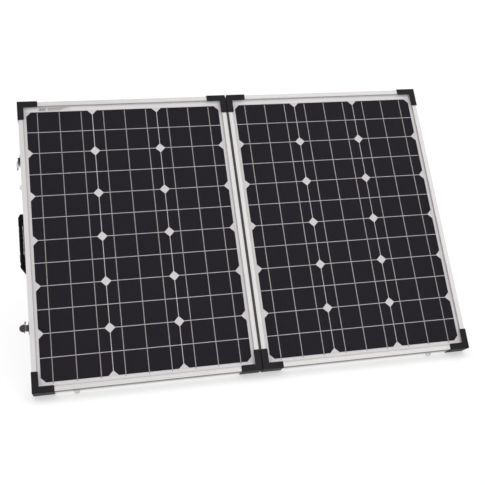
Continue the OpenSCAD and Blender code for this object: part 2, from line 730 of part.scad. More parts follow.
// ---------- small fasteners ----------
module left_pins_and_rivets() color("silver") {
  for (level = [UPPER, LOWER]) at_latch(LEFT, level) {
    rivets(latch_rivet_y, latch_rivet_z, 2.2, latch_plate_t);
    rod_y([lever_x, -7.9, lever_z], lever_pin_r, 15.8);
  }
  at_handle() {
    both_y() rod_y([handle_pin_x, arm_start - 0.5, handle_pin_z], handle_pin_r,
      handle_half - 10.6 - arm_start);
    rivets(handle_rivet_y, handle_rivet_z, 3.2, handle_plate_t);
  }
  at_control() {
    at_cover_screws() rod_z([0, 0, case_d + 2.3], 2.5, 1);
    at_ear_holes() rod_z([0, 0, 2.5], 3.6, 1.8);
    at_terminals() rod_z([0, terminal_screw[0], terminal_screw[1]], 2.7, 3);
  }
}
module right_rivets() color("silver") for (level = [UPPER, LOWER])
  at_latch(RIGHT, level) rivets(latch_rivet_y, latch_rivet_z, 2.6, keeper_plate_t);

top_rail(LEFT);  // left_top_rail
bottom_rail(LEFT);  // left_bottom_rail
outer_rail(LEFT);  // left_outer_rail
inner_rail(LEFT);  // left_inner_rail
corner_keys(LEFT);  // left_corner_keys
corner_guards(LEFT);  // left_corner_guards
glass(LEFT);  // left_glass
backsheet(LEFT);  // left_backsheet
cells(LEFT);  // left_cells
cell_ribbons(LEFT);  // left_cell_ribbons
junction_box(LEFT);  // left_junction_box
junction_lid(LEFT);  // left_junction_lid
foot_bolt(LEFT);  // left_foot_bolt
leg_pivot(LEFT);  // left_leg_pivot
leg_tube(LEFT);  // left_leg_tube
leg_extension(LEFT);  // left_leg_extension
leg_tip(LEFT);  // left_leg_tip
leg_knob(LEFT);  // left_leg_knob
top_rail(RIGHT);  // right_top_rail
bottom_rail(RIGHT);  // right_bottom_rail
outer_rail(RIGHT);  // right_outer_rail
inner_rail(RIGHT);  // right_inner_rail
corner_keys(RIGHT);  // right_corner_keys
corner_guards(RIGHT);  // right_corner_guards
glass(RIGHT);  // right_glass
backsheet(RIGHT);  // right_backsheet
cells(RIGHT);  // right_cells
cell_ribbons(RIGHT);  // right_cell_ribbons
junction_box(RIGHT);  // right_junction_box
junction_lid(RIGHT);  // right_junction_lid
foot_bolt(RIGHT);  // right_foot_bolt
leg_pivot(RIGHT);  // right_leg_pivot
leg_tube(RIGHT);  // right_leg_tube
leg_extension(RIGHT);  // right_leg_extension
leg_tip(RIGHT);  // right_leg_tip
leg_knob(RIGHT);  // right_leg_knob
hinge_leaf(LEFT, 0);  // left_hinge_leaf
hinge_leaf(RIGHT, 1);  // right_hinge_leaf
hinge_pin();
handle_base();
handle_grip();
latch_bases();
upper_latch_lever();
upper_latch_bail();
lower_latch_lever();
lower_latch_bail();
latch_keepers();
controller_case();
controller_cover();
controller_display();
menu_button();
load_button();
controller_terminals();
left_pv_cables();
right_pv_cables();
output_lead();
output_plug();
left_pins_and_rivets();
right_rivets();
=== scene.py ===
"""Folding solar panel: two hinged leaves with rear junction boxes, cables and a controller.

The leaves lean back together. Leaf coordinates are in mm: x across both leaves from the
hinge line (left leaf negative), y up the slope from the lower edge, z out of the glass side,
so the rear fittings have negative z. The frame itself is in metres with +Z up.
"""
import bpy, bmesh, math, json
from mathutils import Vector, Matrix


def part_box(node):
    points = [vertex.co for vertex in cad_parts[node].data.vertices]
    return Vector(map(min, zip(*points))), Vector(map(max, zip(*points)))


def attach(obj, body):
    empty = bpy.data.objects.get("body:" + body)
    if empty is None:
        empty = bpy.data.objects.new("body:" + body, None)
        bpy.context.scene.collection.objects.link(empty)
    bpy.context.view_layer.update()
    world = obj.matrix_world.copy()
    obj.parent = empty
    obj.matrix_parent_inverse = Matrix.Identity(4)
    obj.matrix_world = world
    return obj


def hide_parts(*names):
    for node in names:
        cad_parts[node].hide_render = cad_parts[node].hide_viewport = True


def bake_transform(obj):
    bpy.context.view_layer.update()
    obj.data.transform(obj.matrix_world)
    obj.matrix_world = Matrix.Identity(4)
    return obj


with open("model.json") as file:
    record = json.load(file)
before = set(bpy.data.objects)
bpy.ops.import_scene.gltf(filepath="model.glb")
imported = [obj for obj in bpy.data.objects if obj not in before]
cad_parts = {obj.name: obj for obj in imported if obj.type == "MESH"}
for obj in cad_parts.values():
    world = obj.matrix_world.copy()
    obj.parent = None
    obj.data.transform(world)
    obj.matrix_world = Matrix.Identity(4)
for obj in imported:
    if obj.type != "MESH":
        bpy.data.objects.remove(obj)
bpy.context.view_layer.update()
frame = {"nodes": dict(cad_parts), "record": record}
nodes, record = frame["nodes"], frame["record"]

# ------------------------------------------------------------------ leaf dimensions, mm
LEAN = math.radians(36.64)              # from the vertical
LEAF_INNER, LEAF_OUTER = 2.8, 511.7     # leaf edges, measured from the hinge line
LEAF_HEIGHT = 700.0
RAIL_DEPTH = 35
FILM_LOW_EDGE = 3
FILM_FRONT_Z, FILM_REAR_Z = -6.3, -7.3
COLUMNS, ROWS = 3, 12                   # cells on one leaf
PITCH_X, PITCH_Y = 157.6, 54.57
ARRAY_X = (LEAF_INNER + LEAF_OUTER) / 2 + 0.05   # centre of the cells, from the hinge line
ARRAY_Y = LEAF_HEIGHT / 2 - 1.6
SIDES = (("left", -1), ("right", 1))

# ------------------------------------------------------------------ leaf frame
COS, SIN = math.cos(LEAN), math.sin(LEAN)
ACROSS = Vector((1, 0, 0))
UP = Vector((0, SIN, COS))
OUT = Vector((0, -COS, SIN))
rail_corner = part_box("left_bottom_rail")[0]
film_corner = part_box("left_backsheet")[0]
ORIGIN = Vector((rail_corner[0] + LEAF_OUTER / 1000,
                 film_corner[1] - FILM_LOW_EDGE / 1000 * SIN + FILM_FRONT_Z / 1000 * COS,
                 rail_corner[2] + RAIL_DEPTH / 1000 * SIN))


def turned(x, y, z):
    """A direction given along the leaf's axes, in the frame."""
    return ACROSS * x + UP * y + OUT * z


def at(x, y, z):
    """A point in leaf mm, in the frame's metres."""
    return turned(x / 1000, y / 1000, z / 1000) + ORIGIN


# ------------------------------------------------------------------ shader building
class ShaderTree:
    """A material with its node tree; numbers and sockets are both taken as inputs."""

    def __init__(self, name):
        self.material = bpy.data.materials.new(name)
        self.material.use_nodes = True
        self.tree = self.material.node_tree
        self.tree.nodes.clear()
        self.output = self.node("ShaderNodeOutputMaterial")

    def put(self, socket, value):
        if isinstance(value, bpy.types.NodeSocket):
            self.tree.links.new(value, socket)
        elif isinstance(value, tuple) and socket.type == "RGBA":
            socket.default_value = (*value, 1)
        else:
            socket.default_value = value

    def node(self, kind, *values, settings=None, **named):
        """Adds a node; values fill its inputs in order, named ones by name (_ for a space)."""
        node = self.tree.nodes.new(kind)
        for key, value in (settings or {}).items():
            setattr(node, key, value)
        for i, value in enumerate(values):
            self.put(node.inputs[i], value)
        for key, value in named.items():
            self.put(node.inputs[key.replace("_", " ")], value)
        return node

    def calc(self, operation, first, second=0.0):
        settings = {"operation": operation}
        return self.node("ShaderNodeMath", first, second, 0.0, settings=settings).outputs[0]

    def plus(self, first, second):
        return self.calc("ADD", first, second)

    def minus(self, first, second):
        return self.calc("SUBTRACT", first, second)

    def times(self, first, second):
        return self.calc("MULTIPLY", first, second)

    def away(self, value, centre):
        """Distance of a value from a centre."""
        return self.calc("ABSOLUTE", self.minus(value, centre))

    def dot(self, first, second):
        settings = {"operation": "DOT_PRODUCT"}
        node = self.node("ShaderNodeVectorMath", first, second, settings=settings)
        return node.outputs["Value"]

    def scaled(self, vector, factor):
        settings = {"operation": "SCALE"}
        return self.node("ShaderNodeVectorMath", vector, settings=settings, Scale=factor).outputs[0]

    def combine(self, x, y, z):
        return self.node("ShaderNodeCombineXYZ", x, y, z).outputs[0]

    def coords(self):
        return self.node("ShaderNodeTexCoord").outputs["Object"]

    def leaf(self, axes=(ACROSS, UP, OUT)):
        """Leaf coordinates in mm along the given axes, one socket each."""
        point = self.coords()
        return [self.times(self.minus(self.dot(point, axis), ORIGIN.dot(axis)), 1000)
                for axis in axes]

    def noise(self, vector, scale, detail=2.0, rough=0.5):
        return self.node("ShaderNodeTexNoise", Vector=vector, Scale=scale, Detail=detail,
                         Roughness=rough).outputs["Fac"]

    def voronoi(self, vector, scale):
        return self.node("ShaderNodeTexVoronoi", Vector=vector, Scale=scale).outputs["Distance"]

    def random(self, vector):
        settings = {"noise_dimensions": "3D"}
        return self.node("ShaderNodeTexWhiteNoise", vector, settings=settings).outputs["Value"]

    def span(self, value, source, target=(0, 1)):
        """Maps the source range onto the target range, clamped."""
        return self.node("ShaderNodeMapRange", value, *source, *target).outputs[0]

    def mix(self, factor, first, second):
        node = self.node("ShaderNodeMix", settings={"data_type": "RGBA"})
        for i, value in ((0, factor), (6, first), (7, second)):
            self.put(node.inputs[i], value)
        return node.outputs[2]

    def bump(self, height, strength, distance):
        return self.node("ShaderNodeBump", Strength=strength, Distance=distance,
                         Height=height).outputs[0]

    def edge(self, radius):
        """0 on flat faces, rising to 1 along edges."""
        bevel = self.node("ShaderNodeBevel", settings={"samples": 4}, Radius=radius)
        geometry = self.node("ShaderNodeNewGeometry")
        facing = self.dot(bevel.outputs[0], geometry.outputs["Normal"])
        return self.span(facing, (0.995, 0.86))

    def view_distance(self):
        return self.node("ShaderNodeCameraData").outputs["View Distance"]

    def near_only(self, distance, value):
        """The value close to the camera, fading to nothing 1.3 m away."""
        return self.span(distance, (0.6, 1.3), (value, 0.0))

    def mix_shader(self, factor, first, second):
        return self.node("ShaderNodeMixShader", factor, first, second).outputs[0]

    def finish(self, shader):
        self.tree.links.new(shader, self.output.inputs[0])
        return self.material

    def surface(self, **inputs):
        return self.finish(self.node("ShaderNodeBsdfPrincipled", **inputs).outputs[0])


def shade(color, factor):
    return tuple(c * factor for c in color)


# ------------------------------------------------------------------ materials
def anodised(name, along, base=(0.635, 0.620, 0.615), roughness=(0.40, 0.52)):
    """Brushed aluminium, its grain running along x or y of the leaf."""
    tree = ShaderTree(name)
    x, y, z = tree.leaf()
    long_way, cross_way = (x, y) if along == "x" else (y, x)
    stretched = tree.combine(tree.times(long_way, 0.006), tree.times(cross_way, 1.0),
                             tree.times(z, 1.0))
    grain = tree.noise(stretched, scale=2.6, detail=3, rough=0.6)
    fine = tree.noise(stretched, scale=9.0, detail=2, rough=0.5)
    blotches = tree.noise(tree.combine(x, y, z), scale=0.018, detail=3, rough=0.55)
    spots = tree.span(tree.voronoi(tree.combine(x, y, z), scale=0.09), (0.0, 0.05), (1.0, 0.0))
    patches = tree.span(tree.noise(tree.combine(x, y, z), scale=0.05), (0.55, 0.7))
    spots = tree.times(spots, patches)
    color = tree.mix(tree.span(grain, (0.3, 0.7)), shade(base, 0.94), base)
    color = tree.mix(tree.times(tree.span(blotches, (0.4, 0.75)), 0.25), color, shade(base, 0.86))
    color = tree.mix(tree.times(spots, 0.25), color, (0.45, 0.45, 0.46))
    if along == "x":
        # painted shade and light on the underside of the level rails: the colour is painted dark
        # next to the lip and light towards the rear edge, standing in for the shade under the lip
        # and the light thrown up from the bright floor
        under = tree.span(y, (0.2, 0.6), (1.0, 0.0))
        light = tree.span(z, (-30.0, -7.0), (1.42, 0.20))
        tone = tree.plus(1.0, tree.times(under, tree.minus(light, 1.0)))
        color = tree.scaled(color, tone)
    rough = tree.plus(tree.span(grain, (0.25, 0.75), roughness), tree.times(spots, 0.15))
    relief = tree.plus(grain, tree.times(fine, 0.5))
    return tree.surface(Base_Color=color, Metallic=0.82, Roughness=rough,
                        Normal=tree.bump(relief, strength=0.35, distance=0.00006))


def plastic(name, base, rough=0.5, pebble=1.6, depth=0.00006, wear=0.0, scuff=0.06, spec=0.45):
    """Pebbled plastic; pebble sets how fine, depth how deep, wear how pale the edges are."""
    tree = ShaderTree(name)
    point = tree.coords()
    pebbles = tree.noise(point, scale=pebble * 1000, detail=2, rough=0.55)
    dimples = tree.voronoi(point, scale=pebble * 620)
    clouds = tree.noise(point, scale=14, detail=4, rough=0.6)
    streaked = tree.combine(tree.dot(point, ACROSS * 30), tree.dot(point, UP * 600),
                            tree.dot(point, OUT * 200))
    scratches = tree.noise(streaked, scale=1.0, detail=4, rough=0.7)
    lighter = tuple(c * 1.22 + 0.002 for c in base)
    color = tree.mix(tree.span(clouds, (0.35, 0.7)), shade(base, 0.82), lighter)
    color = tree.mix(tree.times(tree.span(scratches, (0.62, 0.78)), scuff), color,
                     (0.35, 0.34, 0.33))
    roughness = tree.plus(tree.span(pebbles, (0.3, 0.7), (rough - 0.06, rough + 0.08)),
                          tree.times(clouds, 0.06))
    if wear:
        broken = tree.noise(point, scale=260, detail=3, rough=0.6)
        worn = tree.times(tree.edge(radius=0.0009), tree.span(broken, (0.35, 0.7), (0.2, 1)))
        color = tree.mix(tree.times(worn, wear), color, (0.16, 0.155, 0.155))
    relief = tree.plus(tree.times(pebbles, 0.7), tree.times(dimples, 0.6))
    return tree.surface(Base_Color=color, Roughness=roughness, Specular_IOR_Level=spec,
                        Normal=tree.bump(relief, strength=0.55, distance=depth))


def steel(name, base, roughness, metallic=1.0, wear=None, scale=900):
    """Metal with a fine grain; wear is the colour of bare metal on rubbed edges."""
    tree = ShaderTree(name)
    point = tree.coords()
    fine = tree.noise(point, scale=scale, detail=3, rough=0.6)
    clouds = tree.noise(point, scale=60, detail=4, rough=0.6)
    color = tree.mix(tree.span(clouds, (0.3, 0.7)), shade(base, 0.88), shade(base, 1.12))
    both = tree.plus(tree.times(fine, 0.5), tree.times(clouds, 0.5))
    rough = tree.span(both, (0.3, 0.7), roughness)
    if wear:
        broken = tree.noise(point, scale=420, detail=3, rough=0.6)
        worn = tree.times(tree.edge(radius=0.0006), tree.span(broken, (0.4, 0.62)))
        color = tree.mix(worn, color, wear)
        metallic = tree.calc("MAXIMUM", tree.times(worn, 0.9), metallic)
    return tree.surface(Base_Color=color, Metallic=metallic, Roughness=rough,
                        Normal=tree.bump(fine, strength=0.4, distance=0.00003))


def in_pitches(tree, value, centre, count, pitch):
    """Place in the cell array, counted in pitches from its lower end."""
    return tree.calc("DIVIDE", tree.minus(value, centre - count / 2 * pitch), pitch)


def cell_material():
    """Dark silicon, each cell with its own tone, with fine silver fingers."""
    tree = ShaderTree("silicon_cell")
    x, y = tree.leaf((ACROSS, UP))
    from_hinge = tree.calc("ABSOLUTE", x)
    column = tree.calc("FLOOR", in_pitches(tree, from_hinge, ARRAY_X, COLUMNS, PITCH_X))
    row = tree.calc("FLOOR", in_pitches(tree, y, ARRAY_Y, ROWS, PITCH_Y))
    side = tree.calc("SIGN", x)
    own = tree.random(tree.combine(column, row, side))
    # the pair of strips cut from one wafer shares most of its tone
    wafer_row = tree.calc("FLOOR", tree.times(row, 0.5))
    shared = tree.random(tree.combine(column, wafer_row, side))
    tone = tree.plus(tree.times(own, 0.4), tree.times(shared, 0.6))
    mottle = tree.noise(tree.combine(x, y, 0.0), scale=0.05, detail=5, rough=0.6)
    color = tree.mix(tone, (0.0152, 0.0138, 0.0186), (0.0174, 0.0150, 0.0198))
    color = tree.mix(tree.times(tree.span(mottle, (0.3, 0.75)), 0.3), color,
                     (0.0196, 0.0166, 0.0212))
    # printed silver fingers, 1.95 mm apart up the leaf, seen only from near by
    wave = tree.calc("PINGPONG", tree.plus(y, 0.3), 0.975)
    finger = tree.span(wave, (0.0, 0.09), (1.0, 0.0))
    distance = tree.view_distance()
    near = tree.near_only(distance, 0.05)
    color = tree.mix(tree.times(finger, near), color, (0.34, 0.33, 0.33))
    rough = tree.plus(tree.span(mottle, (0.3, 0.7), (0.40, 0.50)), tree.times(finger, near))
    grain = tree.noise(tree.combine(x, y, 0.0), scale=1.2, detail=3, rough=0.6)
    normal = tree.bump(grain, strength=tree.near_only(distance, 0.10), distance=0.00004)
    return tree.surface(Base_Color=color, Roughness=rough, Specular_IOR_Level=0.06, Normal=normal)


def glass_material():
    """Coated glass: clear face on, with reflection and dust showing towards grazing."""
    tree = ShaderTree("solar_glass")
    flat = tree.combine(*tree.leaf((ACROSS, UP)), 0.0)
    ripple = tree.times(tree.noise(flat, scale=0.02, detail=3, rough=0.5), 2.2)
    texture = tree.plus(tree.noise(flat, scale=1.1, detail=2, rough=0.5), ripple)
    normal = tree.bump(texture, strength=tree.near_only(tree.view_distance(), 0.12),
                       distance=0.00003)
    dust = tree.span(tree.noise(flat, scale=0.012, detail=5, rough=0.65), (0.45, 0.8))
    glossy = tree.node("ShaderNodeBsdfGlossy", Color=(1.0, 1.0, 1.0),
                       Roughness=tree.plus(0.12, tree.times(dust, 0.1)), Normal=normal)
    clear = tree.node("ShaderNodeBsdfTransparent", Color=(0.965, 0.960, 0.962))
    dusty = tree.node("ShaderNodeBsdfDiffuse", Color=(0.75, 0.73, 0.70))
    fresnel = tree.node("ShaderNodeFresnel", IOR=1.20, Normal=normal).outputs[0]
    backfacing = tree.node("ShaderNodeNewGeometry").outputs["Backfacing"]
    front = tree.minus(1.0, backfacing)
    # the coating takes away the reflection seen face on
    grazing = tree.times(tree.calc("MAXIMUM", tree.minus(fresnel, 0.018), 0.0), front)
    haze = tree.times(tree.times(dust, grazing), 0.4)
    hazed = tree.mix_shader(haze, clear.outputs[0], dusty.outputs[0])
    return tree.finish(tree.mix_shader(grazing, hazed, glossy.outputs[0]))


def sheet_material():
    """White rear film; the cells show faintly through its rear."""
    tree = ShaderTree("rear_film")
    x, y, z = tree.leaf()
    from_hinge = tree.calc("ABSOLUTE", x)
    inside = None
    # 1 within a cell: clear of the gaps between cells, then of the array's outer edges
    for value, centre, count, pitch, gap in (
            (from_hinge, ARRAY_X, COLUMNS, PITCH_X, (0.486, 0.496)),
            (y, ARRAY_Y, ROWS, PITCH_Y, (0.474, 0.488))):
        place = tree.calc("FRACT", in_pitches(tree, value, centre, count, pitch))
        within = tree.span(tree.away(place, 0.5), gap, (1.0, 0.0))
        inside = within if inside is None else tree.times(inside, within)
    for value, centre, border in ((from_hinge, ARRAY_X, (235.5, 237)), (y, ARRAY_Y, (326, 327))):
        inside = tree.times(inside, tree.span(tree.away(value, centre), border, (1, 0)))
    rear = tree.span(z, (-7.0, -7.25))
    film = tree.noise(tree.combine(x, y, 0.0), scale=0.03, detail=4, rough=0.6)
    weave = tree.noise(tree.combine(x, y, 0.0), scale=1.4, detail=3, rough=0.6)
    rear_color = tree.mix(tree.span(film, (0.3, 0.7)), (0.70, 0.70, 0.695), (0.76, 0.76, 0.755))
    # painted light: the bare film round the cells is painted a little lighter than between them,
    # lifting the margin that the frame lip shades
    painted_margin_light = tree.calc("MAXIMUM", tree.span(tree.away(y, ARRAY_Y), (328.0, 330.0)),
                    tree.span(tree.away(from_hinge, ARRAY_X), (237.0, 239.0), (0.0, 0.6)))
    front_color = tree.mix(painted_margin_light, (0.640, 0.622, 0.627), (0.760, 0.744, 0.748))
    color = tree.mix(rear, front_color, rear_color)
    color = tree.mix(tree.times(tree.times(inside, rear), 0.22), color, (0.42, 0.43, 0.46))
    return tree.surface(Base_Color=color, Roughness=tree.span(weave, (0.3, 0.7), (0.45, 0.6)),
                        Specular_IOR_Level=0.35,
                        Normal=tree.bump(weave, strength=0.3, distance=0.00012))


def cable_material():
    tree = ShaderTree("cable_jacket")
    point = tree.coords()
    fine = tree.noise(point, scale=900, detail=3, rough=0.6)
    clouds = tree.noise(point, scale=40, detail=4, rough=0.6)
    color = tree.mix(tree.span(clouds, (0.35, 0.7)), (0.010, 0.010, 0.010), (0.024, 0.023, 0.023))
    return tree.surface(Base_Color=color, Roughness=tree.span(clouds, (0.3, 0.7), (0.36, 0.55)),
                        Specular_IOR_Level=0.4,
                        Normal=tree.bump(fine, strength=0.4, distance=0.00004))


def display_material():
    tree = ShaderTree("display_window")
    point = tree.coords()
    clouds = tree.noise(point, scale=90, detail=3, rough=0.6)
    smears = tree.noise(point, scale=260, detail=3)
    fine = tree.noise(point, scale=1800, detail=2)
    return tree.surface(Base_Color=tree.mix(clouds, (0.11, 0.135, 0.11), (0.15, 0.18, 0.145)),
                        Roughness=tree.span(smears, (0.3, 0.7), (0.08, 0.2)),
                        Coat_Weight=0.6, Coat_Roughness=0.05,
                        Normal=tree.bump(fine, strength=0.15, distance=0.00002))


def speckled(name, dark, light, roughness, scale=1500, detail=3, strength=0.2,
             distance=0.00002, coat=0.0):
    """Paper, print and lamps: one noise drives colour, roughness and relief."""
    tree = ShaderTree(name)
    speckle = tree.noise(tree.coords(), scale=scale, detail=detail, rough=0.6)
    return tree.surface(Base_Color=tree.mix(speckle, dark, light),
                        Roughness=tree.span(speckle, (0.3, 0.7), roughness), Coat_Weight=coat,
                        Normal=tree.bump(speckle, strength=strength, distance=distance))


def lamp(name, color):
    return speckled(name, shade(color, 0.8), color, roughness=(0.12, 0.2), scale=500,
                    strength=0.1, coat=0.5)


def floor_material():
    tree = ShaderTree("pale_floor")
    clouds = tree.noise(tree.coords(), scale=3.0, detail=4, rough=0.6)
    return tree.surface(Base_Color=tree.mix(clouds, (0.50, 0.50, 0.50), (0.52, 0.52, 0.52)),
                        Roughness=0.9, Specular_IOR_Level=0.05,
                        Emission_Color=(1, 1, 1), Emission_Strength=0.50)


MATERIALS = {
    "anodised_x": anodised("anodised_rail_level", "x"),
    "anodised_v": anodised("anodised_rail_upright", "y"),
    "leg_alu": anodised("leg_aluminium", "x", base=(0.62, 0.615, 0.615), roughness=(0.3, 0.45)),
    "zinc_cast": steel("cast_key", (0.42, 0.42, 0.43), roughness=(0.5, 0.7)),
    "black_plastic": plastic("guard_plastic", (0.0092, 0.0080, 0.0100), pebble=1.5,
                             depth=0.00007, wear=0.22, scuff=0.025, spec=0.14),
    "grip_plastic": plastic("grip_plastic", (0.0022, 0.0021, 0.0030), rough=0.55, pebble=1.1,
                            depth=0.00009, wear=0.03, scuff=0.006, spec=0.05),
    "box_plastic": plastic("box_plastic", (0.018, 0.018, 0.019), pebble=1.8, depth=0.00005,
                           wear=0.35),
    "cover_plastic": plastic("cover_plastic", (0.036, 0.037, 0.042), rough=0.48, pebble=1.8,
                             depth=0.00004, wear=0.3),
    "solar_glass": glass_material(),
    "backsheet": sheet_material(),
    "cell": cell_material(),
    "ribbon": steel("tinned_ribbon", (0.320, 0.307, 0.305), roughness=(0.28, 0.5),
                    metallic=0.75, scale=1400),
    "stainless": steel("stainless", (0.62, 0.61, 0.60), roughness=(0.22, 0.38)),
    "rubber": plastic("rubber", (0.018, 0.018, 0.018), rough=0.72, pebble=0.9, depth=0.0001,
                      scuff=0.1, spec=0.3),
    "black_steel": steel("black_steel", (0.035, 0.031, 0.033), roughness=(0.34, 0.5),
                         metallic=0.35, wear=(0.42, 0.40, 0.39)),
    "wire_steel": steel("plated_wire", (0.20, 0.155, 0.145), roughness=(0.28, 0.45)),
    "display": display_material(),
    "button_grey": plastic("button_grey", (0.42, 0.42, 0.42), rough=0.45, pebble=2.0,
                           depth=0.00003),
    "button_orange": plastic("button_orange", (0.62, 0.16, 0.025), rough=0.42, pebble=2.0,
                             depth=0.00003),
    "terminal_plastic": plastic("terminal_plastic", (0.02, 0.085, 0.035), rough=0.4, pebble=2.0,
                                depth=0.00003),
    "cable_jacket": cable_material(),
    "paper": speckled("label_paper", (0.62, 0.62, 0.61), (0.72, 0.72, 0.71),
                      roughness=(0.55, 0.75), scale=700, detail=4, strength=0.3,
                      distance=0.00003),
    "ink": speckled("print_ink", (0.02, 0.02, 0.022), (0.05, 0.05, 0.052), roughness=(0.5, 0.7)),
    "print": speckled("pale_print", (0.50, 0.50, 0.50), (0.62, 0.62, 0.61),
                      roughness=(0.5, 0.65)),
    "lamp_green": lamp("lamp_green", (0.05, 0.42, 0.08)),
    "lamp_amber": lamp("lamp_amber", (0.62, 0.26, 0.02)),
    "lamp_red": lamp("lamp_red", (0.5, 0.03, 0.02)),
}


def material_key(name, slot):
    """The material of a CAD piece, from its name and its recorded slot."""
    if name == "handle_base":
        return "grip_plastic"
    if slot == "anodised":
        level = "top_rail" in name or "bottom_rail" in name
        return "anodised_x" if level else "anodised_v"
    return slot


recorded_slots = {part["node"]: part["material_slot"] for part in record["subparts"]}
for name, piece in nodes.items():
    material = MATERIALS[material_key(name, recorded_slots[name])]
    if not piece.material_slots:
        piece.data.materials.append(material)
    for slot in piece.material_slots:
        slot.material = material

# ------------------------------------------------------------------ softened CAD edges
# piece: (bevel width in mm, segments)
LEAF_EDGES = {
    "corner_guards": (0.55, 3), "junction_box": (0.5, 2), "junction_lid": (0.5, 2),
    "leg_tube": (0.45, 2), "leg_extension": (0.3, 2), "leg_knob": (0.6, 3),
    "top_rail": (0.12, 2), "bottom_rail": (0.12, 2), "outer_rail": (0.12, 2),
    "inner_rail": (0.12, 2),
}
SINGLE_EDGES = {
    "handle_base": (0.7, 3), "handle_grip": (0.8, 3), "latch_bases": (0.2, 2),
    "upper_latch_lever": (0.25, 2), "lower_latch_lever": (0.25, 2), "latch_keepers": (0.2, 2),
    "controller_case": (0.5, 2), "controller_cover": (0.5, 2), "controller_terminals": (0.3, 2),
    "menu_button": (0.4, 2), "load_button": (0.4, 2), "output_plug": (0.6, 2),
}


def soften(name, width, segments):
    modifiers = nodes[name].modifiers
    weld = modifiers.new("weld", "WELD")
    weld.merge_threshold = 1e-5
    bevel = modifiers.new("edge", "BEVEL")
    bevel.width = width / 1000
    bevel.segments = segments
    bevel.limit_method = "ANGLE"
    bevel.angle_limit = math.radians(30)
    bevel.use_clamp_overlap = True
    bevel.harden_normals = False
    normals = modifiers.new("normals", "WEIGHTED_NORMAL")
    normals.keep_sharp = False


for side, _ in SIDES:
    for name, edge in LEAF_EDGES.items():
        soften(f"{side}_{name}", *edge)
for name, edge in SINGLE_EDGES.items():
    soften(name, *edge)

# the glass is drawn in by 0.08 mm, so its rear face clears the plane of the cells and ribbons
for side, _ in SIDES:
    clear = nodes[f"{side}_glass"].modifiers.new("clear", "DISPLACE")
    clear.direction = "NORMAL"
    clear.mid_level = 0.0
    clear.strength = -0.00008


# ------------------------------------------------------------------ mesh building
def make_mesh(vertices, faces, smooth=False):
    mesh = bpy.data.meshes.new("part")
    mesh.from_pydata([tuple(v) for v in vertices], [], faces)
    mesh.validate()
    bm = bmesh.new()
    bm.from_mesh(mesh)
    bmesh.ops.recalc_face_normals(bm, faces=bm.faces)
    bm.to_mesh(mesh)
    bm.free()
    for polygon in mesh.polygons:
        polygon.use_smooth = smooth
    return mesh


def merged(parts):
    mesh = bpy.data.meshes.new("merged")
    bm = bmesh.new()
    for part in parts:
        bm.from_mesh(part)
        bpy.data.meshes.remove(part)
    bm.to_mesh(mesh)
    bm.free()
    return mesh


def add_object(name, parts, material):
    """One object from one or more meshes."""
    mesh = parts[0] if len(parts) == 1 else merged(parts)
    mesh.name = name
    mesh.materials.append(material)
    added = bpy.data.objects.new(name, mesh)
    bpy.context.scene.collection.objects.link(added)
    return added


def fit(name, parts, side, material, replaces=None):
    """Adds an object that rides on one leaf with the material of this key, hiding the CAD piece it
    replaces if one is given.
    """
    added = add_object(name, parts, MATERIALS[material])
    if replaces:
        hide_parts(replaces)
    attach(added, f"{side}_leaf")


def ring_faces(rings, sides):
    """Walls between successive rings, and a cap on each end."""
    faces = []
    for i in range(rings - 1):
        for s in range(sides):
            here, after = i * sides + s, i * sides + (s + 1) % sides
            faces.append((here, after, after + sides, here + sides))
    last = (rings - 1) * sides
    faces.append(tuple(range(sides - 1, -1, -1)))
    faces.append(tuple(last + s for s in range(sides)))
    return faces


def slab(x_range, y_range, z_range, bevel=0.0):
    """Box in leaf mm, its edges rounded if a bevel is given."""
    corners = [at(x, y, z) for x in x_range for y in y_range for z in z_range]
    mesh = make_mesh(corners, [(0, 1, 3, 2), (4, 6, 7, 5), (0, 4, 5, 1), (2, 3, 7, 6),
                               (0, 2, 6, 4), (1, 5, 7, 3)])
    if bevel:
        bm = bmesh.new()
        bm.from_mesh(mesh)
        bmesh.ops.bevel(bm, geom=bm.edges[:], offset=bevel / 1000, segments=2, affect="EDGES",
                        profile=0.5)
        bm.to_mesh(mesh)
        bm.free()
    return mesh


def domed_head(x, y, z, radius, height, dome, sides=20):
    """Round head with a domed top, standing on (x, y, z) and facing the rear."""
    axis = -OUT
    first = axis.orthogonal().normalized()
    second = axis.cross(first).normalized()
    foot = at(x, y, z)
    rings = [(radius, 0), (radius, height * 0.55), (radius * 0.93, height * 0.78),
             (radius * 0.78, height + dome * 0.35), (radius * 0.5, height + dome * 0.75),
             (radius * 0.2, height + dome)]
    vertices = []
    for ring_radius, rise in rings:
        for s in range(sides):
            angle = 2 * math.pi * s / sides
            spoke = first * math.cos(angle) + second * math.sin(angle)
            vertices.append(foot + spoke * ring_radius / 1000 + axis * rise / 1000)
    return make_mesh(vertices, ring_faces(len(rings), sides), smooth=True)


def smooth_path(points, steps):
    """Catmull-Rom curve through the points."""
    path = []
    ends = [2 * points[0] - points[1]] + points + [2 * points[-1] - points[-2]]
    for i in range(1, len(ends) - 2):
        a, b, c, d = ends[i - 1:i + 3]
        for k in range(steps):
            t = k / steps
            path.append(0.5 * ((2 * b) + (c - a) * t + (2 * a - 5 * b + 4 * c - d) * t * t
                               + (3 * b - a - 3 * c + d) * t ** 3))
    path.append(ends[-2].copy())
    return path


def round_corners(points, radius, steps=6):
    path = [points[0].copy()]
    for i in range(1, len(points) - 1):
        corner = points[i]
        back, ahead = points[i - 1] - corner, points[i + 1] - corner
        reach = min(radius, back.length * 0.48, ahead.length * 0.48)
        start = corner + back.normalized() * reach
        end = corner + ahead.normalized() * reach
        for j in range(steps + 1):
            t = j / steps
            path.append((1 - t) ** 2 * start + 2 * t * (1 - t) * corner + t * t * end)
    path.append(points[-1].copy())
    return path


